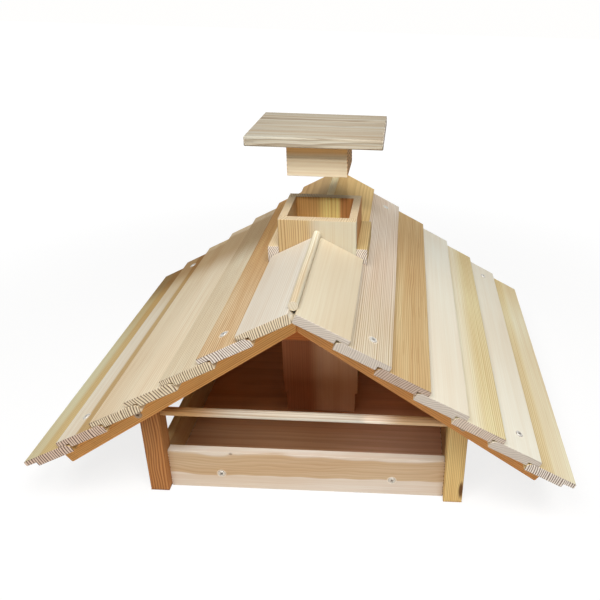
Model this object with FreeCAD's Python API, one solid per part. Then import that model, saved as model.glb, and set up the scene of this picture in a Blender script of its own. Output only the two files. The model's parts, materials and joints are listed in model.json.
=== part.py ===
# Wooden bird table: lapped-board gable roof on four posts, with a seed silo through the ridge
import FreeCAD
import Part
import math
import os

V = FreeCAD.Vector

# All sizes are in millimetres. X runs across the gable, Y from the front gable to the rear one, Z up from the feet.

# Roof as a whole
roof_width = 720.0
roof_length = 550.0
roof_pitch = 35.0
rafter_apex_underside = 284.5
gable_overhang = 29.5
eaves_overhang = 23.5

# Roof boards: plain boards with a rebated lip below and a chamfered tongue above
board_count = 7
board_thickness = 13.5
board_width = 73.0
lip_thickness = 7.3
ridge_board_reach = 83.4
shoulder_gap = 1.5
tongue_chamfer_depth = 5.0
tongue_chamfer_length = 6.0

# Ridge: the two ridge boards meet in a small V that carries a round rod
groove_half_width = 5.1
ridge_rod_diameter = 12.0
ridge_rod_inset = 12.0
rod_gap = 0.3

# Rafters and the block behind their mitre
rafter_thickness = 20.0
rafter_depth = 24.0
apex_block_width = 70.0
apex_block_thickness = 18.0
apex_block_drop = 23.5

# Posts
post_size = 27.0
post_spread = 444.0
post_foot_chamfer = 2.0
roof_gap = 1.0

# Tray
tray_height = 64.5
tray_board_thickness = 12.5
tray_recess = 12.0
floor_thickness = 10.0
floor_raise = 2.5

# Perches
perch_diameter = 12.0
perch_height = 132.0
perch_socket_depth = 10.0
dowel_gap = 0.3

# Silo
silo_width = 114.4
silo_centre_y = 11.1
silo_rise = 38.2
silo_end_thickness = 14.0
silo_side_thickness = 11.7
silo_shoulder = 2.8
silo_foot_inset = 1.7
seed_outlet_height = 50.0
fit_gap = 0.5

# Strips that close the roof beside the silo
strip_width = 16.3
strip_height = 17.5

# Lid, shown lifted off
lid_length = 188.0
lid_depth = 150.0
lid_thickness = 14.0
lid_edge_chamfer = 1.0
plug_height = 50.0
plug_gap = 2.5
lid_lift = 110.2

# Screws
screw_head_diameter = 10.0
screw_head_height = 2.0
screw_shank_diameter = 4.0
screw_head_sides = 24
screw_shank_sides = 8
screw_gap = 0.3
roof_screw_length = 40.0
rafter_screw_length = 40.0
tray_screw_length = 11.0
roof_screw_from_lip = 28.0
rafter_screw_inset = 10.0
tray_screw_spacing = 243.0
tray_screw_height = 26.0
screwed_boards = (2, 6)

# Derived angles: each board lies flatter than the rafter by the tilt that rests its lip on the next board
pitch = math.radians(roof_pitch)
lowest_lip_reach = roof_width / 2.0 / math.cos(pitch)
board_exposure = (lowest_lip_reach - ridge_board_reach) / (board_count - 1)
tilt = math.asin(lip_thickness / board_exposure)
lie = pitch - tilt
board_overlap = board_width - board_exposure * math.cos(tilt)
rebate_length = board_overlap + shoulder_gap
lip_corner_rise = board_width * math.sin(tilt) + board_thickness * math.cos(tilt)

# Derived heights and positions
rafter_apex_top = rafter_apex_underside + rafter_depth / math.cos(pitch)
silo_top = rafter_apex_top + silo_rise
post_face_y = roof_length / 2.0 - gable_overhang - rafter_thickness
rafter_centre_y = post_face_y + rafter_thickness / 2.0
post_outer_x = post_spread / 2.0
post_inner_x = post_outer_x - post_size
post_inner_y = post_face_y - post_size
post_centre_y = post_face_y - post_size / 2.0
tray_outer_x = post_outer_x - tray_recess
tray_outer_y = post_face_y - tray_recess
tray_inner_x = tray_outer_x - tray_board_thickness
tray_inner_y = tray_outer_y - tray_board_thickness
floor_top = floor_raise + floor_thickness
silo_half = silo_width / 2.0
silo_front_y = silo_centre_y - silo_half
silo_rear_y = silo_centre_y + silo_half
silo_inner_front_y = silo_front_y + silo_end_thickness
silo_inner_rear_y = silo_rear_y - silo_end_thickness
silo_inner_x = silo_half - silo_side_thickness


def prism(points, y_start, length):
    """Extrude a closed outline of (x, z) points along +Y."""
    corners = [V(x, y_start, z) for x, z in points]
    corners.append(corners[0])
    face = Part.Face(Part.makePolygon(corners))
    return face.extrude(V(0, length, 0))


def block(x_low, x_high, y_low, y_high, z_low, z_high):
    """Box between two corners."""
    return Part.makeBox(x_high - x_low, y_high - y_low, z_high - z_low, V(x_low, y_low, z_low))


def other_side(shape):
    """Mirror left to right."""
    return shape.mirror(V(0, 0, 0), V(1, 0, 0))


def other_gable(shape):
    """Mirror front to rear."""
    return shape.mirror(V(0, 0, 0), V(0, 1, 0))


def both_sides(shape):
    return [shape, other_side(shape)]


def four_corners(shape):
    return both_sides(shape) + both_sides(other_gable(shape))


def slope_point(down, rise):
    """Point on the right slope: distance down the rafters' top plane, and height square to it."""
    x = down * math.cos(pitch) + rise * math.sin(pitch)
    z = rafter_apex_top - down * math.sin(pitch) + rise * math.cos(pitch)
    return (x, z)


def board_upper_edge(number):
    """Distance down the slope to the bottom corner of a board's upper edge."""
    lip_down = ridge_board_reach - lip_corner_rise * math.tan(pitch) + (number - 1) * board_exposure
    return lip_down - board_width * math.cos(tilt) + board_thickness * math.sin(tilt)


def board_point(number, along, up):
    """Point in a board's section: distance from its upper edge, and height above its underside."""
    down = board_upper_edge(number) + along * math.cos(tilt) - up * math.sin(tilt)
    rise = along * math.sin(tilt) + up * math.cos(tilt)
    return slope_point(down, rise)


def board_height(number, x, up):
    """Height Z of the line a given thickness above a board's underside, at a given X."""
    edge_x, edge_z = board_point(number, 0.0, up)
    return edge_z - (x - edge_x) * math.tan(lie)


def board_section(number, start):
    """Outline of a right-hand board from a given distance below its upper edge."""
    lip_under = board_thickness - lip_thickness
    shoulder = board_width - rebate_length
    points = [(start, 0.0), (shoulder, 0.0), (shoulder, lip_under), (board_width, lip_under), (board_width, board_thickness)]
    if start == 0.0:
        points.append((tongue_chamfer_length, board_thickness))
        points.append((0.0, board_thickness - tongue_chamfer_depth))
    else:
        points.append((start, board_thickness))
    return [board_point(number, along, up) for along, up in points]


def rod_down(radius, sides, length):
    """Straight-sided stand-in for a small round bar, from the origin down."""
    corners = [V(radius * math.cos(2 * math.pi * k / sides), radius * math.sin(2 * math.pi * k / sides), 0) for k in range(sides)]
    corners.append(corners[0])
    return Part.Face(Part.makePolygon(corners)).extrude(V(0, 0, -length))


def screw(length):
    """Flat-headed screw with its head at the origin, pointing down."""
    head = rod_down(screw_head_diameter / 2.0, screw_head_sides, screw_head_height)
    shank = rod_down(screw_shank_diameter / 2.0, screw_shank_sides, length)
    return head.fuse(shank).removeSplitter()


def screw_hole(length):
    """Counterbore and bore that the screw sits in, open at the head."""
    seat = rod_down(screw_head_diameter / 2.0 + screw_gap, screw_head_sides, screw_head_height)
    bore = rod_down(screw_shank_diameter / 2.0 + screw_gap, screw_shank_sides, length + screw_gap)
    return seat.fuse(bore).removeSplitter()


def point_along(shape, place, direction):
    """Turn a shape that points down so that it points along a direction, and move it to a place."""
    turn = FreeCAD.Rotation(V(0, 0, -1), direction)
    shape.Placement = FreeCAD.Placement(place, turn)
    return shape


def drill(shape, holes):
    for hole in holes:
        shape = shape.cut(hole)
    return shape


parts = {}


def add_pair(stem, right_shape):
    parts[stem + "_right"] = right_shape
    parts[stem + "_left"] = other_side(right_shape)


def add_ends(stem, front_shape):
    parts[stem + "_front"] = front_shape
    parts[stem + "_rear"] = other_gable(front_shape)


# Screw places: two rows of roof screws into the rafters, one in each rafter's foot, two in each end board
roof_bores = {}
roof_screw_solids = []
square_to_board = V(-math.sin(lie), 0, -math.cos(lie))
for number in screwed_boards:
    x, z = board_point(number, board_width - roof_screw_from_lip, board_thickness)
    place = V(x, -rafter_centre_y, z)
    roof_bores[number] = point_along(screw_hole(roof_screw_length), place, square_to_board)
    roof_screw_solids += four_corners(point_along(screw(roof_screw_length), place, square_to_board))

rafter_screw_x = post_outer_x - rafter_screw_inset
rafter_screw_z = rafter_apex_top - rafter_screw_x * math.tan(pitch) - rafter_depth / 2.0 / math.cos(pitch)
rafter_screw_place = V(rafter_screw_x, -post_face_y - rafter_thickness, rafter_screw_z)
rafter_bore = point_along(screw_hole(rafter_screw_length), rafter_screw_place, V(0, 1, 0))
rafter_screw_solids = four_corners(point_along(screw(rafter_screw_length), rafter_screw_place, V(0, 1, 0)))

tray_screw_place = V(tray_screw_spacing / 2.0, -tray_outer_y, tray_screw_height)
tray_bore = point_along(screw_hole(tray_screw_length), tray_screw_place, V(0, 1, 0))
tray_screw_solids = four_corners(point_along(screw(tray_screw_length), tray_screw_place, V(0, 1, 0)))

# Posts: square, bevelled at the foot, cut to the roof slope at the top, with a socket for the perch
post_top_outer = rafter_apex_top - post_outer_x * math.tan(pitch) - roof_gap / math.cos(pitch)
post_top_inner = rafter_apex_top - post_inner_x * math.tan(pitch) - roof_gap / math.cos(pitch)
post_outline = [(post_inner_x, 0), (post_outer_x, 0), (post_outer_x, post_top_outer), (post_inner_x, post_top_inner)]
post = prism(post_outline, -post_face_y, post_size)
foot_edges = [edge for edge in post.Edges if edge.BoundBox.ZMax < post_foot_chamfer / 2.0]
post = post.makeChamfer(post_foot_chamfer, foot_edges)
socket_depth = perch_socket_depth + dowel_gap
socket_start = V(post_inner_x, -post_centre_y, perch_height)
socket = Part.makeCylinder(perch_diameter / 2.0 + dowel_gap, socket_depth, socket_start, V(1, 0, 0))
post = drill(post, [socket, rafter_bore])
parts["post_front_right"] = post
parts["post_front_left"] = other_side(post)
parts["post_rear_right"] = other_gable(post)
parts["post_rear_left"] = other_gable(other_side(post))

# Perches: round rods let into the posts
perch_half = post_inner_x + perch_socket_depth
perch = Part.makeCylinder(perch_diameter / 2.0, 2 * perch_half, V(-perch_half, -post_centre_y, perch_height), V(1, 0, 0))
add_ends("perch", perch)

# Tray: four boards on edge between the posts, and a floor notched round them
tray_end = block(-post_inner_x, post_inner_x, -tray_outer_y, -tray_inner_y, 0, tray_height)
tray_end = drill(tray_end, both_sides(tray_bore))
parts["tray_front_board"] = tray_end
parts["tray_rear_board"] = other_gable(tray_end)
tray_side = block(tray_inner_x, tray_outer_x, -post_inner_y, post_inner_y, 0, tray_height)
parts["tray_right_board"] = tray_side
parts["tray_left_board"] = other_side(tray_side)
floor = block(-tray_inner_x, tray_inner_x, -tray_inner_y, tray_inner_y, floor_raise, floor_top)
post_square = block(post_inner_x, post_outer_x, -post_face_y, -post_inner_y, 0, tray_height)
parts["tray_floor"] = drill(floor, four_corners(post_square))

# Rafters: mitred at the apex, cut square at the eaves, screwed to the posts' outer faces
rafter_length = board_upper_edge(board_count) + board_width * math.cos(tilt) - board_thickness * math.sin(tilt) - eaves_overhang
rafter_outline = [
    slope_point(0, 0),
    slope_point(rafter_length, 0),
    slope_point(rafter_length, -rafter_depth),
    (0, rafter_apex_underside),
]
rafter = prism(rafter_outline, -post_face_y - rafter_thickness, rafter_thickness)
rafter = drill(rafter, [rafter_bore] + [roof_bores[number] for number in screwed_boards])
parts["rafter_front_right"] = rafter
parts["rafter_front_left"] = other_side(rafter)
parts["rafter_rear_right"] = other_gable(rafter)
parts["rafter_rear_left"] = other_gable(other_side(rafter))

# Block behind the mitre, cut to both slopes
block_half = apex_block_width / 2.0
block_bottom = rafter_apex_underside - apex_block_drop
block_peak = rafter_apex_top - roof_gap / math.cos(pitch)
block_shoulder = block_peak - block_half * math.tan(pitch)
block_right = [(0, block_bottom), (block_half, block_bottom), (block_half, block_shoulder), (0, block_peak)]
block_left = [(-x, z) for x, z in block_right if x > 0]
apex_block = prism(block_right + block_left[::-1], -post_face_y, apex_block_thickness)
add_ends("apex_block", apex_block)

# Roof boards below the ridge: the second is notched round the silo
silo_clearance = block(
    0,
    silo_half + fit_gap,
    silo_front_y - fit_gap,
    silo_rear_y + fit_gap,
    0,
    silo_top,
)
for number in range(2, board_count + 1):
    board = prism(board_section(number, 0.0), -roof_length / 2.0, roof_length)
    if number in roof_bores:
        board = drill(board, [roof_bores[number], other_gable(roof_bores[number])])
    board = board.cut(silo_clearance)
    parts["roof_right_%d" % number] = board
    parts["roof_left_%d" % number] = other_side(board)

# Ridge boards: square-cut upper edges that meet in a V, mitred below it
ridge_top_x = board_point(1, 0.0, board_thickness)[0]
ridge_start = (groove_half_width - ridge_top_x) / math.cos(lie)
ridge_outline = board_section(1, ridge_start)
right_half = block(0, roof_width, -roof_length, roof_length, 0, rafter_apex_top + board_width)
ridge_front_length = silo_front_y - fit_gap + roof_length / 2.0
ridge_rear_start = silo_rear_y + fit_gap
ridge_rear_length = roof_length / 2.0 - ridge_rear_start
add_pair("ridge_board_front", prism(ridge_outline, -roof_length / 2.0, ridge_front_length).common(right_half))
add_pair("ridge_board_rear", prism(ridge_outline, ridge_rear_start, ridge_rear_length).common(right_half))

# Ridge rods: each rests on the two upper corners of the V
groove_corner_z = board_point(1, ridge_start, board_thickness)[1]
rod_radius = ridge_rod_diameter / 2.0
rod_centre_z = groove_corner_z + math.sqrt((rod_radius + rod_gap) ** 2 - groove_half_width ** 2)
rod_front_start = V(0, -roof_length / 2.0 + ridge_rod_inset, rod_centre_z)
rod_rear_start = V(0, ridge_rear_start, rod_centre_z)
parts["ridge_rod_front"] = Part.makeCylinder(rod_radius, ridge_front_length - ridge_rod_inset, rod_front_start, V(0, 1, 0))
parts["ridge_rod_rear"] = Part.makeCylinder(rod_radius, ridge_rear_length - ridge_rod_inset, rod_rear_start, V(0, 1, 0))

# Silo: end boards stand on the floor and widen to shoulders under the roof, side boards stop above the floor
shoulder_half = silo_half + silo_shoulder
foot_half = silo_half - silo_foot_inset
neck_foot_z = board_height(2, silo_half, 0.0) - fit_gap
shoulder_z = board_height(2, shoulder_half, 0.0) - fit_gap
silo_right = [
    (foot_half, floor_top),
    (foot_half, seed_outlet_height),
    (shoulder_half, seed_outlet_height),
    (shoulder_half, shoulder_z),
    (silo_half, neck_foot_z),
    (silo_half, silo_top),
]
silo_outline = silo_right + [(-x, z) for x, z in silo_right[::-1]]
parts["silo_front_board"] = prism(silo_outline, silo_front_y, silo_end_thickness)
parts["silo_rear_board"] = prism(silo_outline, silo_inner_rear_y, silo_end_thickness)
silo_side = block(silo_inner_x, silo_half, silo_inner_front_y, silo_inner_rear_y, seed_outlet_height, silo_top)
parts["silo_right_board"] = silo_side
parts["silo_left_board"] = other_side(silo_side)

# Strips on the second boards, against the silo's sides
strip_outer_x = silo_half + strip_width
strip_foot_inner = board_height(2, silo_half, board_thickness)
strip_foot_outer = board_height(2, strip_outer_x, board_thickness)
strip_top = strip_foot_inner + strip_height
strip_outline = [
    (silo_half, strip_foot_inner),
    (strip_outer_x, strip_foot_outer),
    (strip_outer_x, strip_top),
    (silo_half, strip_top),
]
add_pair("silo_strip", prism(strip_outline, silo_front_y, silo_width))

# Lid: a cover with a plug that drops into the silo's mouth
cover_foot = silo_top + lid_lift
cover = block(
    -lid_length / 2.0,
    lid_length / 2.0,
    silo_centre_y - lid_depth / 2.0,
    silo_centre_y + lid_depth / 2.0,
    cover_foot,
    cover_foot + lid_thickness,
)
parts["lid_cover"] = cover.makeChamfer(lid_edge_chamfer, cover.Edges)
plug_half_x = silo_inner_x - plug_gap
parts["lid_plug"] = block(
    -plug_half_x,
    plug_half_x,
    silo_inner_front_y + plug_gap,
    silo_inner_rear_y - plug_gap,
    cover_foot - plug_height,
    cover_foot,
)

parts["tray_screws"] = Part.makeCompound(tray_screw_solids)
parts["rafter_screws"] = Part.makeCompound(rafter_screw_solids)
parts["roof_screws"] = Part.makeCompound(roof_screw_solids)

os.makedirs("parts", exist_ok=True)
for name in sorted(parts):
    shape = parts[name]
    shape.exportStep("parts/%s.step" % name)
    print(name, len(shape.Solids), shape.isValid(), round(shape.Volume))
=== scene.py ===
# %% [markdown]
# A wooden bird table: an open tray on four posts, under a wide roof of lapped boards, with a seed silo that
# comes out through the ridge like a chimney and a plugged lid lifted off it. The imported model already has
# every plank in its place, so this lesson is about wood: how to give each plank its own growth rings, and
# how to ease its sharp edges, so that the table looks as if it were sawn, planed and screwed together.

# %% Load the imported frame
import json
import math

import bpy
import mathutils
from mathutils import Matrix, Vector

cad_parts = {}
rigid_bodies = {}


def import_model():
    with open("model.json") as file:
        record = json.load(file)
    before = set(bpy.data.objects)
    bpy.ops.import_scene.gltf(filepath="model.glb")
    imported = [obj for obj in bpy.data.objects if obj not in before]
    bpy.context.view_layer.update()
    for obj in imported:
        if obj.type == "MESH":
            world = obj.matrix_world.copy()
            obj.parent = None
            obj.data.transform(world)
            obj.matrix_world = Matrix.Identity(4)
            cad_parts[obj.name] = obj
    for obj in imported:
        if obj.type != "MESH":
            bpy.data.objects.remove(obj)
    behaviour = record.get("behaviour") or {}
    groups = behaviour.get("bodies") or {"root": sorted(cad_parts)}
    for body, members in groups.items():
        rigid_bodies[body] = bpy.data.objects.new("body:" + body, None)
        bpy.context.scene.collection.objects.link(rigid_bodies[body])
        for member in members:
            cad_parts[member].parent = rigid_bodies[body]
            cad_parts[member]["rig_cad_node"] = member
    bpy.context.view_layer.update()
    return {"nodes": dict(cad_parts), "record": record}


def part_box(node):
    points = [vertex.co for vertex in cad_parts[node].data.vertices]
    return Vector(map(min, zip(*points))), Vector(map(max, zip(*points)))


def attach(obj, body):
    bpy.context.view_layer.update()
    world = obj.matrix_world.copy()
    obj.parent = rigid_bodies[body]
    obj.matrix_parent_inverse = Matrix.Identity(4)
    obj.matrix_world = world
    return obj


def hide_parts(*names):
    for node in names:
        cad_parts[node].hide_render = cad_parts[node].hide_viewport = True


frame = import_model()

# %% [markdown]
# The photograph was taken from a little above the roof, in front of the gable and slightly to its right, with
# the object left of the lens axis. The camera's place and turn were solved from the corners of the planks, so
# they are plain numbers here. The shift puts the lens axis back to where it was in the uncropped picture.

# %% Camera
IMAGE_SIDE = 600  # pixels
SENSOR = 36.0  # millimetres
FOCAL_PIXELS = 651.2
AXIS_PIXEL = (389.0, 269.9)
CAMERA_PLACE = (0.1204, -0.9185, 0.6972)
CAMERA_DEGREES = (0.94, -25.70, 1.68)  # heading, tilt and roll
NEAREST_SEEN = 0.01


def camera_turn(yaw, pitch, roll):
    """Rotation matrix of a camera from its heading, its tilt and its roll."""
    flat = math.cos(pitch)
    ahead = mathutils.Vector((-math.sin(yaw) * flat, math.cos(yaw) * flat, math.sin(pitch)))
    level = mathutils.Vector((math.cos(yaw), math.sin(yaw), 0.0))
    upright = level.cross(ahead)
    right = math.cos(roll) * level + math.sin(roll) * upright
    up = math.cos(roll) * upright - math.sin(roll) * level
    return mathutils.Matrix((right, up, -ahead)).transposed()


bpy.ops.object.camera_add(location=CAMERA_PLACE)
camera = bpy.context.object
camera.name = "table_camera"
camera.rotation_euler = camera_turn(*(math.radians(angle) for angle in CAMERA_DEGREES)).to_euler()
camera.data.sensor_width = SENSOR
camera.data.lens = FOCAL_PIXELS / IMAGE_SIDE * SENSOR
camera.data.shift_x = (IMAGE_SIDE / 2 - AXIS_PIXEL[0]) / IMAGE_SIDE
camera.data.shift_y = (AXIS_PIXEL[1] - IMAGE_SIDE / 2) / IMAGE_SIDE
camera.data.clip_start = NEAREST_SEEN
bpy.context.scene.camera = camera
shift = (round(camera.data.shift_x, 3), round(camera.data.shift_y, 3))
print("lens", round(camera.data.lens, 2), "shift", shift)

# %% [markdown]
# Blender works in linear light, while colours are given as they look on a screen, in sRGB from 0 to 255. One
# small function turns a picked colour into the numbers that a shader takes, so every colour below can be read
# as it looks.

# %% Colours as they look on a screen


def picked(red, green, blue):
    """Linear colour of an sRGB one given from 0 to 255."""
    linear = []
    for part in (red / 255, green / 255, blue / 255):
        linear.append(part / 12.92 if part <= 0.04045 else ((part + 0.055) / 1.055) ** 2.4)
    return (*linear, 1.0)


print("middle grey is", round(picked(128, 128, 128)[0], 3), "in linear light")


# %% [markdown]
# Shader maths is easier to read as a formula than as a heap of nodes. The class below wraps one output socket.
# Adding or multiplying two wrapped sockets adds the Math node that does it, so a line of Python becomes a
# little network. Every other node comes from one method of the material's own builder.

# %% A socket that understands arithmetic


class Value:
    """One shader value that can be added, multiplied and compared like a number."""

    def __init__(self, builder, socket):
        self.builder = builder
        self.socket = socket

    def _maths(self, operation, *others):
        return self.builder.maths(operation, *others)

    def __add__(self, other):
        return self._maths("ADD", self, other)

    def __sub__(self, other):
        return self._maths("SUBTRACT", self, other)

    def __rsub__(self, other):
        return self._maths("SUBTRACT", other, self)

    def __mul__(self, other):
        return self._maths("MULTIPLY", self, other)

    def __truediv__(self, other):
        return self._maths("DIVIDE", self, other)

    def __pow__(self, other):
        return self._maths("POWER", self, other)

    def root(self):
        return self._maths("SQRT", self)

    def fraction(self):
        return self._maths("FRACT", self)

    def absolute(self):
        return self._maths("ABSOLUTE", self)


class Builder:
    """Adds nodes to one material, or to the world."""

    def __init__(self, owner):
        owner.use_nodes = True
        self.owner = owner
        self.tree = owner.node_tree
        self.shader = self.tree.nodes.get("Principled BSDF")

    def add(self, kind, settings=None, output=0, **values):
        """Add a node: its settings, then the values or links of its sockets; return an output as a Value.

        A socket is named by its label, with _ for a space, or by i and its number.
        """
        node = self.tree.nodes.new(kind)
        for key, setting in (settings or {}).items():
            setattr(node, key, setting)
        for key, value in values.items():
            numbered = key[0] == "i" and key[1:].isdigit()
            self.feed(node.inputs[int(key[1:]) if numbered else key.replace("_", " ")], value)
        return Value(self, node.outputs[output])

    def feed(self, socket, value):
        """Link a Value to a socket, or set the socket to a plain number or colour."""
        if isinstance(value, Value):
            self.tree.links.new(value.socket, socket)
        else:
            socket.default_value = value

    def maths(self, operation, *values):
        """A Math node on one or two values."""
        sockets = {f"i{number}": value for number, value in enumerate(values)}
        return self.add("ShaderNodeMath", {"operation": operation}, 0, **sockets)

    def blend(self, factor, first, second, how="MIX"):
        """Mix two colours."""
        settings = {"data_type": "RGBA", "blend_type": how}
        return self.add("ShaderNodeMix", settings, 2, Factor=factor, i6=first, i7=second)

    def tinted(self, factor, colour, factors):
        """A colour multiplied by three factors, where the mask says so."""
        return self.blend(factor, colour, self.blend(1.0, colour, (*factors, 1.0), "MULTIPLY"))

    def step(self, value, low, high):
        """Smooth step from 0 at low to 1 at high."""
        settings = {"interpolation_type": "SMOOTHSTEP"}
        return self.add("ShaderNodeMapRange", settings, 0, Value=value, From_Min=low, From_Max=high)

    def noise(self, vector, scale, detail=2.0):
        """Soft noise between 0 and 1."""
        return self.add("ShaderNodeTexNoise", None, 0, Vector=vector, Scale=scale, Detail=detail)


# %% [markdown]
# The screws stand mirror-wise in the four quarters of the model. In each there are two through the roof boards
# into the rafter, one through the rafter into its post, and one in the end board of the tray. Their places are
# worked out once here, because two steps need them: the wood, which is paler round a screw, partly bruised
# where it was driven home and partly a painted highlight, with a rim of painted shade; and later the screws
# themselves.

# %% Where the screws are
ROOF_LIE = math.radians(27.93)
ROOF_OUT = (math.sin(ROOF_LIE), 0.0, math.cos(ROOF_LIE))
GABLE_OUT = (0.0, 1.0, 0.0)
SCREW_LENGTHS = {"roof_screws": 0.040, "rafter_screws": 0.040, "tray_screws": 0.011}
SCREW_QUARTER = {
    "roof_screws": [((0.0922, 0.2355, 0.2723), ROOF_OUT), ((0.2866, 0.2355, 0.1362), ROOF_OUT)],
    "rafter_screws": [((0.2120, 0.2455, 0.1507), GABLE_OUT)],
    "tray_screws": [((0.1215, 0.2135, 0.0260), GABLE_OUT)],
}
HEAD_SLACK = 0.001
screw_heads = {}
for screw_kind, quarter in SCREW_QUARTER.items():
    screw_heads[screw_kind] = [
        (mathutils.Vector((side * x, end * y, z)), mathutils.Vector((side * nx, end * ny, nz)))
        for (x, y, z), (nx, ny, nz) in quarter
        for side in (-1.0, 1.0)
        for end in (-1.0, 1.0)
    ]


def screws_on(node):
    """Places of the screw heads that lie in a node's box."""
    low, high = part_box(node)
    places = [place for heads in screw_heads.values() for place, outward in heads]
    return [p for p in places if all(a - HEAD_SLACK < v < b + HEAD_SLACK for a, v, b in zip(low, p, high))]


print("screw heads:", {kind: len(heads) for kind, heads in screw_heads.items()})

# %% [markdown]
# Wood is a solid, so its pattern is made as a solid too. Each plank is imagined inside its log: the pith runs
# along the plank somewhere beside it, and the growth rings are cylinders round that pith, a little warped.
# Wherever a face cuts them, the right pattern appears by itself: arcs on the ends, straight stripes where the
# saw ran across the rings, and flame shapes where it only grazed them. Inside a certain radius lies the
# darker heartwood, outside it the pale sapwood. Fine fibres, streaks, knots, broad fades from one tint to
# another, paler sawn ends and the marks round the screws come on top; some fades, the calm stretch and the
# screw marks are painted light and shade. The list below is an ordinary plank; the tables of the planks name
# only what is different. Lengths are in metres and colours are picked ones.

# %% What a wood finish can be told
AXES = {"X": (0, 1, 2), "Y": (1, 0, 2), "Z": (2, 0, 1)}  # grain: which axes run along, across and deep
PLAIN_WOOD = dict(
    grain="Y",  # the axis that the fibres follow
    turn=0.0,  # how the plank lies: its turn about the Y axis
    seed=0.0,  # moves the noise, so that no two planks match
    pith=(0.1, -0.02),  # where the middle of the log lies, across and deep
    ring=0.0028,  # width of one year
    years=2.0,  # how uneven the years are
    warp=0.002,  # how far the rings stray from circles
    ripple=0.0,  # short waves in the rings, on top of that
    line=0.25,  # part of the year after which the dark late wood begins
    contrast=0.4,  # strength of the late wood's lines
    pale=(226, 208, 176),
    late=(196, 164, 118),
    # On the silo's rear board the heartwood at its right end stands for painted shadow.
    heart_radius=None,  # inside this radius the wood is heartwood
    heart_edge=0.003,
    heart_contrast=0.6,
    heart=(204, 164, 112),
    heart_late=(164, 112, 66),
    core=None,  # inside this radius it is pale again
    streak=0.07,  # strength of fibres and streaks
    patch=0.20,  # strength of large soft patches
    # calm and its tint are painted shade: over that stretch the ring lines grow faint and the heartwood
    # darkens.
    calm=None,  # stretch along the grain over which the lines grow faint
    painted_shade_tint=(0.62, 0.50, 0.56),  # what the heartwood is multiplied by there
    fades=(),  # tints that come in along an axis: the axis, where from, where to, the factors
    knots=(),  # knots: place along, place sideways, size
    knot_side="across",  # the axis that sideways means
    knot_face=None,  # place on the third axis, for a knot that shows on one face only
    knot_depth=0.95,
    knot_long=0.6,  # below 1, the knot is drawn out along the grain
    screws=(),  # places of the screw heads
    # strength of the pale ring round a screw, partly bruise and partly painted highlight
    bruise_highlight=0.55,
    end=None,  # distance of the sawn ends from the middle of the plank
    end_pale=(236, 226, 214),
    end_late=(104, 80, 70),
    end_contrast=0.95,
    specular=0.10,
    roughness=0.62,
)
NOISES = {  # how much each noise is squeezed along the grain, its shift, its scale and its detail
    "slow": (0.12, 0.31, 14.0, 2.0),
    "wave": (0.35, 0.77, 34.0, 1.0),
    "uneven": (0.02, 0.13, 90.0, 1.0),
    "fibres": (0.008, 0.57, 620.0, 3.0),
    "broad": (0.03, 0.91, 110.0, 2.0),
    "patches": (0.3, 0.45, 9.0, 2.0),
    "flecks": (0.05, 0.23, 330.0, 0.0),
}
YEARS_SCALE = 70.0
PORES_SCALE = 900.0
FADE_STRAY = 0.03  # how much a fade's border strays
KNOT_PULL = 3.2  # knots bend the rings out to this many times their size
KNOT_PALE, KNOT_DARK = (124, 80, 44), (46, 26, 14)
SAWN_SKIN = (0.0010, 0.0003)  # the end's own colours lie in this skin
# The pale ring round a screw is partly bruise and partly painted highlight; the dark rim is painted shade in
# the gap round the head.
BRUISE_HIGHLIGHT_RADII = (0.0074, 0.0062)  # from outside to full strength, round a screw
RIM_RADII = (0.0056, 0.0050)
BRUISE_HIGHLIGHT_COLOUR, RIM_SHADE = (247, 238, 224), (96, 70, 48)
BUMP_STRENGTH, BUMP_HEIGHT = 0.35, 0.0004
print("a wood finish has", len(PLAIN_WOOD), "settings and", len(NOISES), "noises")

# %% [markdown]
# Some layers are small jobs of their own, so each gets its own function: the distance from the pith, which a
# knot bends outwards; the knots, drawn as dark eyes with fine rings; the sawn ends; and the marks round the
# screws, a pale ring that is partly bruise and partly painted highlight, with a rim of painted shade. Each of
# the last three takes the colour so far and gives back the colour with its own layer on.

# %% Layers of the wood finish


def ring_radius(b, c, along, across, deep, sideways, slow, wave):
    """Distance from the pith, warped by noise and pushed out round the knots."""
    radius = ((across - c["pith"][0]) ** 2.0 + (deep - c["pith"][1]) ** 2.0).root()
    radius = radius + (slow - 0.5) * (2.5 * c["warp"]) + (wave - 0.5) * (0.8 * c["warp"] + c["ripple"])
    for knot_along, knot_across, size in c["knots"]:
        away = ((along - knot_along) ** 2.0 * 0.45 + (sideways - knot_across) ** 2.0).root()
        radius = radius + b.step(away, size * KNOT_PULL, 0.0) * (size * 0.9)
    return radius


def knots_on(b, c, colour, along, sideways, third, wave):
    """The colour with each knot drawn as a dark eye."""
    for knot_along, knot_across, size in c["knots"]:
        away = (along - knot_along) ** 2.0 * c["knot_long"] + (sideways - knot_across) ** 2.0
        if c["knot_face"] is not None:
            away = away + (third - c["knot_face"]) ** 2.0 * 0.5
        away = away.root() + (wave - 0.5) * (size * 0.5)
        spot = b.step(away, size * 1.1, size * 0.35)
        eye = b.step((away / (size * 0.22)).fraction(), 0.3, 0.9) * 0.5 + 0.25
        knot_colour = b.blend(eye, picked(*KNOT_PALE), picked(*KNOT_DARK))
        colour = b.blend(spot * c["knot_depth"], colour, knot_colour)
    return colour


def sawn_ends_on(b, c, colour, place, along, thin_line):
    """The colour with the ends' own one, whose rings are thin dark lines."""
    if c["end"] is None:
        return colour
    sawn = b.step(along.absolute(), c["end"] - SAWN_SKIN[0], c["end"] - SAWN_SKIN[1])
    end_line = thin_line * c["end_contrast"] + (b.noise(place, PORES_SCALE, 1.0) - 0.5) * 0.12
    end_colour = b.blend(end_line, picked(*c["end_pale"]), picked(*c["end_late"]))
    return b.blend(sawn, colour, end_colour)


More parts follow.
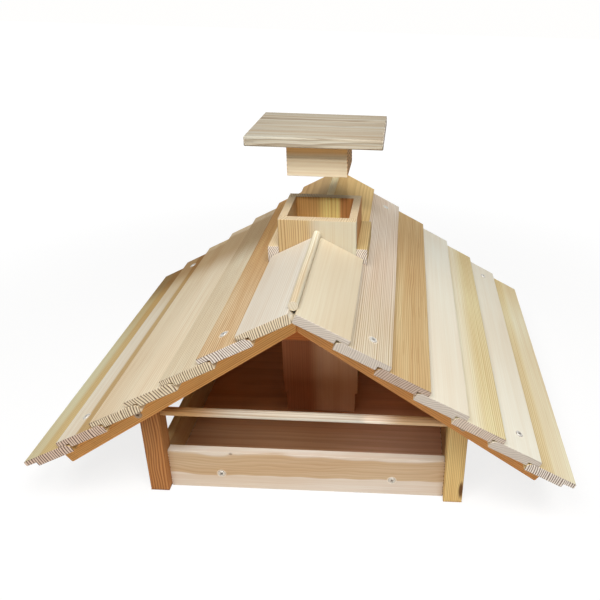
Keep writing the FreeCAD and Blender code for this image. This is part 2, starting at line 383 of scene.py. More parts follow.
def screw_bruise_and_shading_on(b, c, colour, place):
    """The colour with a pale ring round each screw, partly bruise and partly painted highlight, and a dark rim
    of painted shade.
    """
    for head in c["screws"]:
        from_screw = b.add("ShaderNodeVectorMath", {"operation": "DISTANCE"}, 1, i0=place, i1=head)
        from_screw = from_screw + (b.noise(place, PORES_SCALE, 1.0) - 0.5) * 0.0016
        # Pale ring: partly bruise, partly a painted highlight on the rim of the countersink. Dark rim: painted
        # shade.
        colour = b.blend(b.step(from_screw, *BRUISE_HIGHLIGHT_RADII) * c["bruise_highlight"], colour, picked(*BRUISE_HIGHLIGHT_COLOUR))
        colour = b.blend(b.step(from_screw, *RIM_RADII) * 0.7, colour, picked(*RIM_SHADE))
    return colour


layers = (ring_radius, knots_on, sawn_ends_on, screw_bruise_and_shading_on)
print("layers:", [layer.__name__ for layer in layers])

# %% [markdown]
# The finish itself begins with the plank's own axes and its rings. Each ring darkens slowly through the year
# and ends in a sharp edge, where the next spring's pale wood begins. Sapwood and heartwood are coloured with
# the same lines, and then the layers follow. The same lines and fibres also give the bump and the roughness.

# %% A wood finish from growth rings


def wood(name, centre, **choices):
    """Wood of one plank, whose pith is given in metres from the plank's centre."""
    c = dict(PLAIN_WOOD, **choices)
    b = Builder(bpy.data.materials.new(name))
    place = b.add("ShaderNodeTexCoord", None, 3)
    lie = dict(Location=centre, Rotation=(0.0, c["turn"], 0.0))
    turned = b.add("ShaderNodeMapping", {"vector_type": "TEXTURE"}, 0, Vector=place, **lie)
    parts = b.add("ShaderNodeSeparateXYZ", None, 0, Vector=turned).socket.node
    along, across, deep = (Value(b, parts.outputs[number]) for number in AXES[c["grain"]])

    def stretched(squeeze, shift):
        """The plank's own coordinates, squeezed along the grain, moved on so that no two planks match."""
        moved = dict(X=across + shift + c["seed"], Y=deep + shift, Z=along * squeeze + c["seed"])
        return b.add("ShaderNodeCombineXYZ", None, 0, **moved)

    def grain_noise(kind):
        """One of the noises that run with the grain."""
        squeeze, shift, scale, detail = NOISES[kind]
        return b.noise(stretched(squeeze, shift), scale, detail)

    slow, wave = grain_noise("slow"), grain_noise("wave")
    sideways, third = (across, deep) if c["knot_side"] == "across" else (deep, across)
    radius = ring_radius(b, c, along, across, deep, sideways, slow, wave)
    years_place = b.add("ShaderNodeCombineXYZ", None, 0, X=radius, Y=c["seed"])
    years = b.noise(years_place, YEARS_SCALE, 1.0)
    rings = (radius / c["ring"] + slow * 1.5 + (years - 0.5) * c["years"]).fraction()

    uneven = grain_noise("uneven")
    ring_line = b.step(rings, c["line"], 0.86) * b.step(rings, 1.0, 0.9) * (uneven * 1.2 + 0.4)
    # Painted shade: over the calm stretch the ring lines grow faint.
    if c["calm"] is not None:
        shade_stretch = b.step(along, *c["calm"])
        ring_line = ring_line * (1.0 - shade_stretch * 0.7)
    thin_line = b.step(rings, 0.40, 0.80) * b.step(rings, 1.0, 0.9) * (uneven * 0.8 + 0.6)
    late = ring_line * c["contrast"]
    fibres, broad, patches = grain_noise("fibres"), grain_noise("broad"), grain_noise("patches")

    colour = b.blend(late, picked(*c["pale"]), picked(*c["late"]))
    if c["heart_radius"] is not None:
        border = (c["heart_radius"] + c["heart_edge"], c["heart_radius"] - c["heart_edge"])
        inside = b.step(radius, *border)
        if c["core"] is not None:
            inside = inside * b.step(radius, c["core"] - 0.0025, c["core"] + 0.0025)
        heart = b.blend(ring_line * c["heart_contrast"], picked(*c["heart"]), picked(*c["heart_late"]))
        colour = b.blend(inside, colour, heart)
        # Painted shade: the heartwood is darkened over the calm stretch.
        if c["calm"] is not None:
            colour = b.tinted(inside * shade_stretch, colour, c["painted_shade_tint"])
    streaks = (fibres - 0.5) * (2.4 * c["streak"]) + (broad - 0.5) * (2.0 * c["streak"])
    shade = streaks + (patches - 0.5) * c["patch"] + 1.0
    warmed = dict(Red=shade, Green=shade * shade, Blue=shade * shade * shade)
    tint = b.add("ShaderNodeCombineColor", None, 0, **warmed)
    colour = b.blend(1.0, colour, tint, "MULTIPLY")
    flecks = b.step(grain_noise("flecks"), 0.66, 0.76)
    colour = b.blend(flecks * (c["streak"] * 1.6), colour, picked(*c["late"]))
    # Fades tint along one axis; several of them are painted shadow and painted light.
    for axis, start, stop, factors in c["fades"]:
        way = {"along": along, "across": across, "deep": deep}[axis] + (slow - 0.5) * FADE_STRAY
        colour = b.tinted(b.step(way, start, stop), colour, factors)

    colour = knots_on(b, c, colour, along, sideways, third, wave)
    colour = sawn_ends_on(b, c, colour, place, along, thin_line)
    colour = screw_bruise_and_shading_on(b, c, colour, place)
    b.feed(b.shader.inputs["Base Color"], colour)
    b.feed(b.shader.inputs["Roughness"], (fibres - 0.5) * 0.18 + (late * -0.08) + c["roughness"])
    b.feed(b.shader.inputs["Specular IOR Level"], c["specular"])
    relief = dict(Strength=BUMP_STRENGTH, Distance=BUMP_HEIGHT, Height=late * 0.6 + fibres * 0.5)
    b.feed(b.shader.inputs["Normal"], b.add("ShaderNodeBump", None, 0, **relief))
    return b.owner


print("a wood finish has", len(wood("wood_sample", (0, 0, 0)).node_tree.nodes), "nodes")
bpy.data.materials.remove(bpy.data.materials["wood_sample"])

# %% [markdown]
# The planks come from the CAD with knife-sharp edges. Real planed boards have edges that were broken with a
# pass of sandpaper, and those edges catch the light. Each plank is copied, its loose triangles are merged
# into clean faces, and a bevel is run along every long sharp edge. The holes for the screws keep their own
# edges, because those are short. Where two edges lie close together, a narrow bevel is allowed to shrink; the
# wide ones of posts and rafters aren't, or the smallest notch would thin them out all along. Weighted normals
# then let the big flat faces decide the shading, so that the light runs softly over the bevel alone.

# %% Ease the edges of a plank
LONG_EDGE = 0.0095
SHARP = math.radians(25)
WELD = 0.00001
FLAT = math.radians(0.5)
SMOOTH = math.radians(40)
WIDE_BEVEL = 0.0015


def only(thing):
    """Deselect all and make one object the active, selected one."""
    bpy.ops.object.select_all(action="DESELECT")
    thing.select_set(True)
    bpy.context.view_layer.objects.active = thing


def eased(node, width):
    """Copy a CAD plank, clean it and bevel its long edges; the copy stands for the node."""
    source = frame["nodes"][node]
    only(source)
    bpy.ops.object.duplicate()
    plank = bpy.context.object
    plank.name = node + "_wood"
    plank.data.name = plank.name
    bpy.ops.object.mode_set(mode="EDIT")
    bpy.ops.mesh.select_all(action="SELECT")
    bpy.ops.mesh.remove_doubles(threshold=WELD)
    bpy.ops.mesh.dissolve_limited(angle_limit=FLAT)
    bpy.ops.mesh.select_all(action="DESELECT")
    bpy.ops.object.mode_set(mode="OBJECT")
    mesh = plank.data
    normals = {}
    for polygon in mesh.polygons:
        for key in polygon.edge_keys:
            normals.setdefault(key, []).append(polygon.normal.copy())
    for edge in mesh.edges:
        faces = normals.get(tuple(sorted(edge.vertices)), [])
        first, second = (mesh.vertices[v].co for v in edge.vertices)
        sharp = len(faces) == 2 and faces[0].angle(faces[1]) > SHARP
        edge.select = sharp and (first - second).length > LONG_EDGE
    bpy.ops.object.mode_set(mode="EDIT")
    bpy.ops.mesh.select_mode(type="EDGE")
    bpy.ops.mesh.bevel(offset=width, segments=3, profile=0.5, clamp_overlap=width < WIDE_BEVEL)
    bpy.ops.object.mode_set(mode="OBJECT")
    bpy.ops.object.shade_smooth_by_angle(angle=SMOOTH)
    bpy.ops.object.modifier_add(type="WEIGHTED_NORMAL")
    plank.modifiers[-1].keep_sharp = True
    bpy.ops.object.modifier_apply(modifier=plank.modifiers[-1].name)
    del plank["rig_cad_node"]
    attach(plank, body_of_node[node])
    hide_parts(node)
    return plank


body_of_node = {}
for body_name, body_nodes in frame["record"]["behaviour"]["bodies"].items():
    for body_node in body_nodes:
        body_of_node[body_node] = body_name

# %% [markdown]
# No two boards of this roof came from the same log, and that is most of its charm: one is orange heartwood,
# the next almost white, another has fine straight lines like combed hair. Nearly all of them were sawn so that
# the rings stand square to the face, which gives straight lines on top and upright stripes on the ends. The
# table below says, for each board from the ridge down, where its pith lay beside it, how wide its rings are
# and what colours it has. Fades tint a board towards one of its ends. The brown of the left boards near the
# rear is painted shadow of the silo and the lid, and on three of them a last short fade is painted light that
# lifts the very rear tip out of it.

# %% The boards of the roof
PLAIN_END = dict(end_pale=(210, 200, 188), end_late=(147, 130, 118), end_contrast=0.45)
FAINT_END = dict(end_pale=(218, 202, 186), end_late=(138, 116, 102), end_contrast=0.75)
CREAM_END = dict(end_pale=(232, 216, 186), end_late=(100, 70, 52), end_contrast=0.95)
TAN_END = dict(end_pale=(222, 198, 178), end_late=(84, 54, 48), end_contrast=0.95)
SILO_END = dict(end_pale=(212, 194, 162), end_late=(148, 112, 72), end_contrast=0.5)
ROD_END = dict(end_pale=(232, 222, 200), end_late=(200, 180, 150), end_contrast=0.45)
BOARD_LOOKS = {
    "ridge_board_front_right": dict(
        PLAIN_END, pith=(0.03, -0.06), ring=0.0028, contrast=0.10, pale=(219, 205, 178),
        late=(202, 182, 145), streak=0.04, seed=1.1,
    ),
    "ridge_board_front_left": dict(
        CREAM_END, pith=(0.16, -0.05), ring=0.0029, contrast=0.35, pale=(223, 215, 200),
        late=(194, 178, 157), streak=0.05, seed=2.3, end_late=(126, 104, 88),
    ),
    "ridge_board_rear_right": dict(
        pith=(-0.03, -0.10), ring=0.0030, contrast=0.45, pale=(228, 194, 133), late=(190, 146, 84),
        patch=0.40, seed=3.7,
    ),
    "ridge_board_rear_left": dict(
        pith=(0.02, -0.14), ring=0.0032, contrast=0.45, pale=(208, 176, 124), late=(170, 126, 76),
        patch=0.40, seed=4.1,
    ),
    "roof_right_2": dict(
        PLAIN_END, pith=(-0.16, -0.03), ring=0.0027, contrast=0.80, line=0.45, pale=(228, 214, 196),
        late=(180, 148, 116), patch=0.30, seed=5.3,
        fades=(("along", -0.02, -0.24, (0.92, 0.92, 0.84)),),
    ),
    "roof_right_3": dict(
        pith=(0.09, -0.03), ring=0.0030, contrast=0.52, ripple=0.003, pale=(207, 176, 128),
        late=(168, 124, 73), streak=0.14, patch=0.40, seed=6.2, end_pale=(196, 175, 158),
        end_late=(121, 97, 83), end_contrast=0.75,
    ),
    "roof_right_4": dict(
        PLAIN_END, pith=(0.025, -0.05), ring=0.0026, contrast=0.10, pale=(239, 232, 214),
        late=(222, 208, 180), streak=0.03, seed=7.9,
    ),
    "roof_right_5": dict(
        FAINT_END, pith=(0.065, -0.01), ring=0.0028, contrast=0.30, pale=(236, 225, 197),
        late=(208, 188, 142), heart_radius=0.066, heart_edge=0.012, heart_contrast=0.7, line=0.45,
        heart=(232, 215, 170), heart_late=(192, 166, 104), patch=0.28, seed=8.4,
    ),
    "roof_right_6": dict(
        PLAIN_END, pith=(0.025, -0.05), ring=0.0026, contrast=0.10, pale=(238, 230, 211),
        late=(222, 208, 180), streak=0.03, seed=9.6,
    ),
    "roof_right_7": dict(
        pith=(-0.085, -0.01), ring=0.0030, contrast=0.30, pale=(236, 224, 192),
        late=(208, 188, 140), heart_radius=0.090, heart_edge=0.005, heart_contrast=0.7, line=0.45,
        heart=(231, 213, 170), heart_late=(196, 168, 110), patch=0.28, seed=10.2,
        fades=(("along", 0.10, 0.26, (0.94, 0.86, 0.74)),),
    ),
    # On the left boards the fades are painted shadow of the silo and the lid over the rear of the slope; the
    # short last fades on the third, fourth and fifth boards are painted light that lifts the rear tip out of
    # it.
    "roof_left_2": dict(
        pith=(-0.10, -0.02), ring=0.0032, contrast=0.85, line=0.40, ripple=0.003,
        pale=(222, 196, 156), late=(164, 118, 74), streak=0.14, patch=0.40, seed=11.8,
        fades=(("along", -0.20, 0.15, (0.82, 0.65, 0.39)),),
    ),
    "roof_left_3": dict(
        CREAM_END, pith=(0.15, -0.03), ring=0.0030, contrast=0.70, line=0.40, pale=(226, 212, 184),
        late=(176, 146, 104), seed=12.5,
        fades=(
            ("along", 0.03, 0.14, (0.66, 0.55, 0.42)),
            ("along", 0.235, 0.255, (1.35, 1.50, 1.80)),
        ),
    ),
    "roof_left_4": dict(
        CREAM_END, pith=(-0.12, -0.03), ring=0.0040, contrast=0.45, line=0.10, pale=(236, 222, 196),
        late=(206, 182, 142), seed=13.1,
        fades=(
            ("along", 0.05, 0.28, (0.98, 0.97, 0.95)),
            ("along", 0.07, 0.17, (0.66, 0.55, 0.42)),
            ("along", 0.240, 0.258, (1.35, 1.50, 1.80)),
        ),
    ),
    "roof_left_5": dict(
        CREAM_END, pith=(0.12, -0.03), ring=0.0034, contrast=0.45, pale=(230, 213, 184),
        late=(192, 165, 124), patch=0.30, seed=14.7,
        fades=(
            ("along", -0.05, 0.25, (0.97, 0.95, 0.91)),
            ("along", 0.10, 0.19, (0.68, 0.57, 0.44)),
            ("along", 0.245, 0.262, (1.25, 1.40, 1.60)),
        ),
    ),
    "roof_left_6": dict(
        TAN_END, pith=(0.10, 0.006), ring=0.0036, contrast=0.30, pale=(232, 222, 202),
        late=(202, 184, 154), heart_radius=0.1060, heart_edge=0.0035, heart=(202, 174, 126),
        heart_late=(160, 124, 78), seed=15.5,
        fades=(
            ("along", 0.0, 0.20, (0.84, 0.74, 0.58)),
            ("along", 0.14, 0.225, (0.62, 0.50, 0.36)),
        ),
    ),
    "roof_left_7": dict(
        TAN_END, pith=(0.10, -0.006), ring=0.0038, contrast=0.40, pale=(216, 208, 172),
        late=(186, 160, 108), heart_radius=0.1130, heart_edge=0.006, heart=(216, 192, 140),
        heart_late=(178, 140, 82), patch=0.4, seed=16.9,
        fades=(
            ("along", -0.06, 0.18, (0.82, 0.70, 0.54)),
            ("along", 0.13, 0.23, (0.48, 0.38, 0.26)),
        ),
    ),
}


def centre_and_half(node, axis):
    """Middle of a CAD node's box, and half its length along one axis."""
    low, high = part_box(node)
    return tuple((a + b) / 2 for a, b in zip(low, high)), (high[axis] - low[axis]) / 2


ROOF_EASE = 0.0012
wood_pieces = {}


def finish_plank(node, width, look):
    """Ease one plank and give it its own wood."""
    grain = look.get("grain", "Y")
    centre, half = centre_and_half(node, "XYZ".index(grain))
    plank = eased(node, width)
    plank.data.materials.clear()
    square_cut = grain == "Y" or "turn" not in look
    choices = dict(look, end=half if square_cut else None, screws=screws_on(node))
    plank.data.materials.append(wood(node + "_grain", centre, **choices))
    wood_pieces[node] = plank


for node, look in BOARD_LOOKS.items():
    side = -1.0 if "left" in node else 1.0
    finish_plank(node, ROOF_EASE, dict(look, turn=side * ROOF_LIE))
print("roof boards finished:", len(wood_pieces))

# %% [markdown]
# The frame under the roof is sturdier stuff: rafters of orange-brown larch, one reddish post and one yellow
# one, and turned rods. The tray's front board was sawn where heartwood meets sapwood, so a tan band runs
# between a pale upper edge and a nearly white lower half, with wavy borders. Posts and rafters have broadly
# rounded edges, and everything else just broken ones.

# %% Posts, rafters, tray, silo, rods and lid
PITCH = math.radians(35.0)
FRAME_EASE = 0.0026
FINE_EASE = 0.0008
LARCH = dict(
    bruise_highlight=0.1, pith=(0.01, -0.09), ring=0.0026, contrast=0.60, pale=(228, 174, 108), late=(172, 114, 58),
    streak=0.12,
)
FRAME_LOOKS = {
    "rafter_front_right": dict(
        LARCH, grain="X", turn=PITCH, pale=(231, 168, 103), late=(176, 110, 57), seed=21.3,
    ),
    # The front left rafter is paler than the rest: painted light against the shade that the roof boards cast on
    # it.
    "rafter_front_left": dict(
        LARCH, grain="X", turn=-PITCH, pale=(242, 184, 114), late=(186, 124, 62), seed=22.7,
    ),
    "rafter_rear_right": dict(LARCH, grain="X", turn=PITCH, seed=23.1),
    "rafter_rear_left": dict(LARCH, grain="X", turn=-PITCH, seed=24.9),
    "apex_block_front": dict(
        grain="X", pith=(0.0, -0.06), ring=0.0030, contrast=0.4, pale=(188, 114, 60),
        late=(148, 82, 38), seed=25.2,
    ),
    "apex_block_rear": dict(
        grain="X", pith=(0.0, -0.06), ring=0.0030, contrast=0.4, pale=(206, 158, 104),
        late=(172, 120, 70), seed=26.2,
    ),
    "post_front_left": dict(
        grain="Z", pith=(0.038, 0.038), ring=0.0021, contrast=0.70, line=0.35, warp=0.003,
        ripple=0.0035, pale=(190, 134, 82), late=(113, 64, 33), streak=0.14, seed=27.6,
    ),
    "post_front_right": dict(
        grain="Z", pith=(-0.06, -0.03), ring=0.0026, contrast=0.70, line=0.35, warp=0.001,
        pale=(230, 199, 136), late=(176, 134, 76), streak=0.12, seed=28.4,
        knots=((-0.063, 0.0105, 0.0038),), knot_long=0.05,
    ),
    "post_rear_left": dict(
        grain="Z", pith=(0.03, 0.04), ring=0.0027, contrast=0.5, pale=(206, 164, 112),
        late=(166, 120, 70), seed=29.1,
    ),
    "post_rear_right": dict(
        grain="Z", pith=(-0.04, 0.03), ring=0.0027, contrast=0.5, pale=(210, 172, 120),
        late=(170, 126, 78), seed=30.3,
    ),
    # The perch's fades are painted light and shade: its ends darken as painted shadow of the rafters and the
    # roof, and a short stretch on the right is made paler as painted light.
    "perch_front": dict(
        grain="X", pith=(0.02, 0.012), ring=0.0040, contrast=0.45, pale=(221, 210, 191),
        late=(166, 132, 100), streak=0.12, patch=0.4, seed=31.4,
        fades=(
            ("along", -0.08, -0.16, (0.93, 0.61, 0.32)),
            ("along", 0.074, 0.094, (1.45, 1.36, 1.32)),
            ("along", 0.100, 0.140, (0.74, 0.60, 0.43)),
        ),
    ),
    "perch_rear": dict(
        grain="X", pith=(0.02, 0.012), ring=0.0040, contrast=0.45, pale=(212, 195, 168),
        late=(160, 122, 88), streak=0.12, patch=0.5, seed=32.4,
    ),
    "ridge_rod_front": dict(
        grain="Y", pith=(0.02, 0.01), ring=0.0034, contrast=0.45, pale=(228, 217, 191),
        late=(186, 160, 112), streak=0.14, seed=33.8, **ROD_END,
    ),
    # The rear rod is paler than the front one: painted light, lifting it out of the shadow of the lid.
    "ridge_rod_rear": dict(
        grain="Y", pith=(0.02, 0.01), ring=0.0034, contrast=0.3, pale=(255, 234, 185),
        late=(236, 201, 140), streak=0.1, seed=34.8, **ROD_END,
    ),
    "tray_front_board": dict(
        grain="X", pith=(0.0, 0.075), ring=0.0058, contrast=0.10, warp=0.006, ripple=0.016,
        line=0.10, pale=(226, 213, 197), late=(206, 186, 162), heart_radius=0.084,
        heart_edge=0.0010, heart_contrast=0.24, core=0.0470, heart=(206, 178, 143),
        heart_late=(166, 124, 82), patch=0.3, knots=((-0.106, 0.0300, 0.0024),), knot_side="deep",
        knot_face=-0.007, knot_depth=0.55, seed=35.5,
        fades=(("along", -0.10, 0.04, (1.0, 1.02, 1.06)),),
    ),
    "tray_rear_board": dict(
        grain="X", pith=(0.0, -0.075), ring=0.0042, contrast=0.4, warp=0.005, pale=(216, 196, 168),
        late=(190, 160, 122), seed=36.5,
    ),
    "tray_left_board": dict(
        grain="Y", pith=(0.02, -0.12), ring=0.0036, contrast=0.4, pale=(206, 170, 122),
        late=(176, 132, 82), seed=37.2,
    ),
    "tray_right_board": dict(
        grain="Y", pith=(0.02, -0.12), ring=0.0036, contrast=0.4, pale=(204, 170, 126),
        late=(172, 132, 84), seed=38.2,
    ),
    "tray_floor": dict(
        grain="X", pith=(0.03, -0.30), ring=0.0048, contrast=0.30, line=0.10, pale=(194, 148, 112),
        late=(160, 110, 78), seed=39.7,
        fades=(
            ("across", -0.12, 0.0, (1.12, 0.75, 0.52)),
            ("along", -0.02, 0.13, (1.40, 1.50, 1.88)),
        ),
    ),
    # Towards its foot, inside under the roof, the silo's front board is painted darker and redder, with fainter
    # lines: painted shade. The fade across darkens its left side a little.
    "silo_front_board": dict(
        grain="Z", pith=(-0.09, 0.012), ring=0.0032, contrast=0.08, warp=0.002,
        pale=(205, 197, 175), late=(190, 168, 130), heart_radius=0.083, heart_edge=0.010,
        heart_contrast=0.66, line=0.50, heart=(211, 188, 142), heart_late=(146, 104, 60), seed=40.6,
        calm=(0.01, -0.03),
        fades=(
            ("across", 0.004, -0.006, (0.90, 0.86, 0.84)),
            ("along", 0.03, -0.05, (1.42, 0.92, 0.74)),
        ),
        **SILO_END,
    ),
    # The silo's rear board: its very pale sapwood is partly painted light in the shadow of the lid, and the
    # dark heartwood at its right end is painted shadow of the right wall. The fade across darkens it towards
    # the left.
    "silo_rear_board": dict(
        grain="Z", pith=(0.05, 0.03), ring=0.0036, contrast=0.4, line=0.45, pale=(255, 228, 144),
        late=(194, 136, 66), heart_radius=0.0455, heart_edge=0.001, heart=(202, 141, 84),
        heart_late=(154, 96, 52), seed=41.6, fades=(("across", 0.0, -0.022, (0.69, 0.51, 0.49)),),
        **SILO_END,
    ),
    "silo_left_board": dict(
        grain="Z", pith=(0.03, 0.06), ring=0.0030, contrast=0.4, pale=(222, 190, 142),
        late=(184, 142, 92), seed=42.6, **SILO_END,
    ),
    "silo_right_board": dict(
        grain="Z", pith=(0.03, 0.06), ring=0.0034, contrast=0.45, pale=(204, 152, 100),
        late=(160, 104, 60), seed=43.6, **SILO_END,
    ),
    "silo_strip_left": dict(
        grain="Y", pith=(0.06, -0.02), ring=0.0024, contrast=0.4, pale=(224, 204, 168),
        late=(190, 158, 112), seed=44.1,
    ),
    "silo_strip_right": dict(
        grain="Y", pith=(0.06, -0.02), ring=0.0026, contrast=0.6, pale=(206, 182, 130),
        late=(158, 122, 72), seed=45.1,
    ),
    "lid_cover": dict(
        grain="X", pith=(0.035, -0.045), ring=0.0026, contrast=0.65, line=0.35, warp=0.004,
        pale=(180, 170, 151), late=(127, 110, 88), streak=0.18, seed=46.2,
    ),
    # The fade on the plug browns and darkens its upper part: painted shadow of the cover.
    "lid_plug": dict(
        grain="X", pith=(0.0, -0.15), ring=0.0052, contrast=0.25, pale=(229, 215, 188),
        late=(204, 174, 132), patch=0.3, seed=47.2,
        fades=(("deep", 0.000, 0.012, (1.05, 0.74, 0.44)),), end_pale=(240, 197, 146),
        end_late=(106, 68, 45),
    ),
}
for node, look in FRAME_LOOKS.items():
    finish_plank(node, FRAME_EASE if node.startswith(("post", "rafter")) else FINE_EASE, look)
print("all wooden pieces:", len(wood_pieces))

# %% [markdown]
# The screws are bright zinc-plated steel with a cross recess. Their heads are small in the picture, a few
# pixels each, but a bright dot with a dark cross is exactly what tells the eye that they are screws. One of
# each kind is modelled from a cylinder whose rim is rounded, whose underside is drawn out into a
# shank with a tip, and whose recess is cut by two crossed bars.

# %% One screw
HEAD_RADIUS = 0.005
HEAD_HEIGHT = 0.002
HEAD_ROUNDING = 0.0007
SHANK_RADIUS = 0.002
TIP_LENGTH = 0.003
TIP_SHARE = 0.15  # the tip's end, as a share of the shank's radius
BAR_SIZE = (0.0058, 0.0012, 0.0024)
BAR_DEPTH = -0.0002
BAR_TURN = 0.5
UPWARD = 0.9
SMOOTH_STEEL = math.radians(35)


def screw(length):
    """Flat-headed screw with a cross recess, its head at the origin, pointing down."""
    bpy.ops.object.select_all(action="DESELECT")
    middle = (0, 0, -HEAD_HEIGHT / 2)
    bpy.ops.mesh.primitive_cylinder_add(vertices=48, radius=HEAD_RADIUS, depth=HEAD_HEIGHT, location=middle)
    head = bpy.context.object
    bpy.ops.object.mode_set(mode="EDIT")
    bpy.ops.mesh.select_mode(type="FACE")
    bpy.ops.mesh.select_all(action="DESELECT")
    bpy.ops.object.mode_set(mode="OBJECT")
    for face in head.data.polygons:
        face.select = face.normal.z > UPWARD
    bpy.ops.object.mode_set(mode="EDIT")
    bpy.ops.mesh.bevel(offset=HEAD_ROUNDING, segments=4)
    bpy.ops.mesh.select_all(action="DESELECT")
    bpy.ops.object.mode_set(mode="OBJECT")
    for face in head.data.polygons:
        face.select = face.normal.z < -UPWARD
    bpy.ops.object.mode_set(mode="EDIT")
    bpy.ops.mesh.inset(thickness=HEAD_RADIUS - SHANK_RADIUS)
    for drop in (length - HEAD_HEIGHT - TIP_LENGTH, TIP_LENGTH):
        bpy.ops.mesh.extrude_region_move(TRANSFORM_OT_translate={"value": (0, 0, -drop)})
    bpy.ops.transform.resize(value=(TIP_SHARE, TIP_SHARE, 1.0))
    bpy.ops.object.mode_set(mode="OBJECT")
    for turn in (0.0, math.pi / 2):
        bpy.ops.object.select_all(action="DESELECT")
        bpy.ops.mesh.primitive_cube_add(size=1.0, location=(0, 0, BAR_DEPTH), rotation=(0, 0, turn + BAR_TURN))
        bar = bpy.context.object
        bar.scale = BAR_SIZE
        bpy.ops.object.transform_apply(location=False, rotation=False, scale=True)
        only(head)
        bpy.ops.object.modifier_add(type="BOOLEAN")
        cut = head.modifiers[-1]
        cut.operation = "DIFFERENCE"
        cut.object = bar
        bpy.ops.object.modifier_apply(modifier=cut.name)
        bpy.data.objects.remove(bar)
    only(head)
    bpy.ops.object.shade_smooth_by_angle(angle=SMOOTH_STEEL)
    return head


sample_screw = screw(SCREW_LENGTHS["roof_screws"])
print("a screw has", len(sample_screw.data.polygons), "faces")
bpy.data.objects.remove(sample_screw)

# %% [markdown]
# All the screws of one kind are copies of that one, each with its own mesh, turned to stand square on its
# board. They are joined into one piece, which takes the place of the plain pins that the imported model has.
# New zinc is pale and only half a mirror, so it is not set fully metallic. The heads in the rafters sit in the
# shade of the roof, so they get a darker, duller copy of the zinc as painted shade. The cross gets a dark
# metal, painted shade in its recess, so that it reads as a hole.

# %% Put the screws in their places
CLOUD_SCALE = 900.0
RECESS_REACH = 0.0034  # no face of the recess lies farther from the axis
TOP_SKIN = 0.00005


def steel(name, dark, light, metallic):
    """Zinc-plated steel, clouded between a dark and a light colour."""
    b = Builder(bpy.data.materials.new(name))
    place = b.add("ShaderNodeTexCoord", None, 3)
    cloud = b.noise(place, CLOUD_SCALE, 2.0)
    b.feed(b.shader.inputs["Base Color"], b.blend(cloud, picked(*dark), picked(*light)))
    b.feed(b.shader.inputs["Metallic"], metallic)
    b.feed(b.shader.inputs["Roughness"], cloud * 0.2 + 0.26)
    return b.owner


def painted_recess_shade(name):
    """Dark metal for the inside of a recess: painted shade."""
    b = Builder(bpy.data.materials.new(name))
    b.feed(b.shader.inputs["Base Color"], picked(92, 84, 76))
    b.feed(b.shader.inputs["Metallic"], 0.3)
    b.feed(b.shader.inputs["Roughness"], 0.7)
    return b.owner


def in_recess(face):
    """True for the walls and the floor of the cross."""
    reach = math.hypot(face.center.x, face.center.y)
    return reach < RECESS_REACH and -HEAD_HEIGHT < face.center.z < -TOP_SKIN


bright_zinc = steel("screw_zinc", (196, 193, 186), (230, 227, 220), 0.75)
# The rafter screws get a darker, duller copy of the zinc: painted shade.
shaded_zinc = steel("screw_shaded_zinc", (158, 134, 110), (200, 178, 152), 0.2)
recess_shade_material = painted_recess_shade("screw_recess_shade")
for node, places in screw_heads.items():
    model = screw(SCREW_LENGTHS[node])
    model.data.materials.append(shaded_zinc if node == "rafter_screws" else bright_zinc)
    model.data.materials.append(recess_shade_material)
    # The walls and floor of the cross take the dark metal: painted shade in the recess.
    for face in model.data.polygons:
        face.material_index = 1 if in_recess(face) else 0
    copies = []
    for place, outward in places:
        only(model)
        bpy.ops.object.duplicate()
        copy = bpy.context.object
        copy.location = place
        copy.rotation_euler = outward.to_track_quat("Z", "Y").to_euler()
        copies.append(copy)
    bpy.data.objects.remove(model)
    bpy.ops.object.select_all(action="DESELECT")
    for copy in copies:
        copy.select_set(True)
    bpy.context.view_layer.objects.active = copies[0]
    bpy.ops.object.join()
    bpy.ops.object.transform_apply(location=True, rotation=True, scale=True)
    group = bpy.context.object
    group.name = node + "_steel"
    group.data.name = group.name
    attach(group, "house")
    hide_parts(node)
    print(group.name, "faces", len(group.data.polygons))

# %% [markdown]
# A product picture has no room around it. The ground here is a real floor, so it keeps the shadow, but the
# camera sees it mostly as white light, and farther out it turns wholly white. That trick is for the camera
# alone. The wood sees an ordinary pale floor, which sends light back up to the front faces and under the eaves,
# as the white table in a studio does. The world is white to the camera and to mirror-like metal, and nearly
# black near the horizon for everything else, so that little light creeps in under the roof.

# %% Floor and world
FLOOR_SIDE = 12.0
WHITE_FROM, WHITE_TO = 0.55, 1.5  # metres from the middle over which the floor turns white
NEAR_LIGHT = 0.76  # share of white light in what the camera sees of the floor near the table
SEEN_STRENGTH = 1.06
BOUNCE = (0.80, 0.77, 0.73, 1)  # the floor that the wood sees
SKY_LOW, SKY_TOP = 0.01, 0.28
SKY_FROM, SKY_TO = 0.2, 0.9  # heights on the sky's ball between which it brightens
bpy.ops.object.select_all(action="DESELECT")
bpy.ops.mesh.primitive_plane_add(size=FLOOR_SIDE, location=(0, 0, 0))
ground = bpy.context.object
ground.name = "ground"
g = Builder(bpy.data.materials.new("ground_paint"))
ground_place = g.add("ShaderNodeTexCoord", None, 3)
ground_radius = g.add("ShaderNodeVectorMath", {"operation": "LENGTH"}, 1, i0=ground_place)
ground_far = g.step(ground_radius, WHITE_FROM, WHITE_TO)
camera_ray = g.add("ShaderNodeLightPath", None, 0)
grain_of_floor = g.noise(ground_place, 40.0, 2.0)
g.feed(g.shader.inputs["Base Color"], g.blend(grain_of_floor, (0.85, 0.85, 0.85, 1), (0.89, 0.89, 0.89, 1)))
g.feed(g.shader.inputs["Roughness"], 0.95)
g.feed(g.shader.inputs["Specular IOR Level"], 0.0)
paint = Value(g, g.shader.outputs[0])
seen_light = g.add("ShaderNodeEmission", None, 0, Color=(1, 1, 1, 1), Strength=SEEN_STRENGTH)
white_share = ground_far * (1.0 - NEAR_LIGHT) + NEAR_LIGHT
seen = g.add("ShaderNodeMixShader", None, 0, i0=white_share, i1=paint, i2=seen_light)
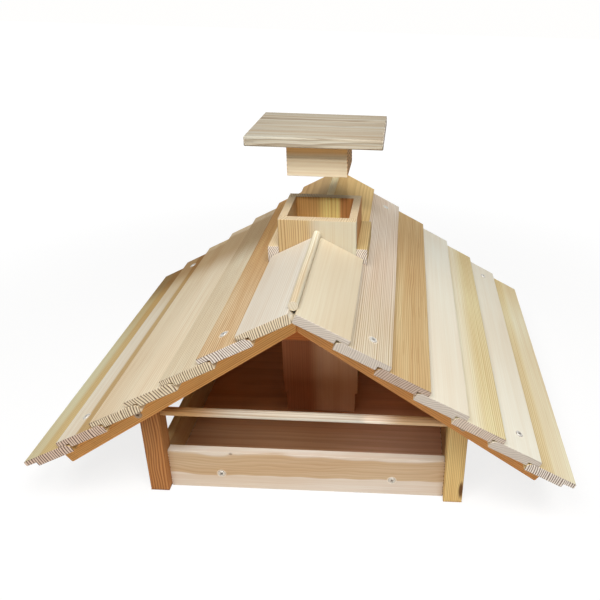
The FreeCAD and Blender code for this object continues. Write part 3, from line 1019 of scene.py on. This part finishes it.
dim = g.add("ShaderNodeBsdfDiffuse", None, 0, Color=BOUNCE)
ground_surface = g.add("ShaderNodeMixShader", None, 0, i0=camera_ray, i1=dim, i2=seen)
g.feed(g.tree.nodes["Material Output"].inputs["Surface"], ground_surface)
ground.data.materials.append(g.owner)

world = bpy.data.worlds.new("studio_world")
bpy.context.scene.world = world
w = Builder(world)
sky_place = w.add("ShaderNodeTexCoord", None, 0)
sky_height = w.add("ShaderNodeSeparateXYZ", None, 2, Vector=sky_place)
sky_level = w.step(sky_height, SKY_FROM, SKY_TO) * SKY_TOP + SKY_LOW
camera_sees, mirror_sees = (w.add("ShaderNodeLightPath", None, number) for number in (0, 3))
sky_strength = w.maths("MAXIMUM", sky_level, w.maths("MAXIMUM", camera_sees, mirror_sees))
background = w.tree.nodes["Background"]
w.feed(background.inputs["Strength"], sky_strength)
w.feed(background.inputs["Color"], (1.0, 0.995, 0.985, 1.0))
bpy.context.scene.view_settings.view_transform = "Standard"
print("floor nodes:", len(g.tree.nodes), "sky nodes:", len(w.tree.nodes))

# %% [markdown]
# The light comes from two large soft lamps high in front. Rays that fall that steeply reach the roof and the
# front faces, while the wide roof keeps them out of the tray, which is why the inside of a real bird table
# looks so dark and warm. The lifted lid would also shade the silo under it, so a narrow spot lamp, aimed in
# below the lid, brings the light back to the silo and its open top.

# %% Lamps


def facing(place, target):
    """Turn of a lamp at one place that shines at another."""
    return (mathutils.Vector(target) - mathutils.Vector(place)).to_track_quat("-Z", "Y").to_euler()


def lamp(name, place, power):
    """Square area lamp that faces the middle of the table."""
    bpy.ops.object.light_add(type="AREA", location=place)
    light = bpy.context.object
    light.name = name
    light.data.shape = "SQUARE"
    light.data.size = LAMP_WIDTH
    light.data.energy = power
    light.data.color = LAMP_COLOUR
    light.rotation_euler = facing(place, TABLE_MIDDLE)


TABLE_MIDDLE = (0.0, 0.0, 0.2)
LAMP_WIDTH = 0.9
LAMP_COLOUR = (1.0, 0.99, 0.975)
lamp("key_lamp", (0.64, -1.38, 2.31), 41.0)
lamp("fill_lamp", (-0.58, -1.25, 2.04), 23.0)

ACCENT_PLACE = (0.12, -1.25, 1.35)
SILO_RIM = (0.0, 0.03, 0.40)
bpy.ops.object.light_add(type="SPOT", location=ACCENT_PLACE)
accent = bpy.context.object
accent.name = "silo_accent"
accent.data.energy = 42.0
accent.data.color = (1.0, 0.985, 0.96)
accent.data.spot_size = math.radians(11.0)
accent.data.spot_blend = 1.0
accent.data.shadow_soft_size = 0.06
accent.rotation_euler = facing(ACCENT_PLACE, SILO_RIM)
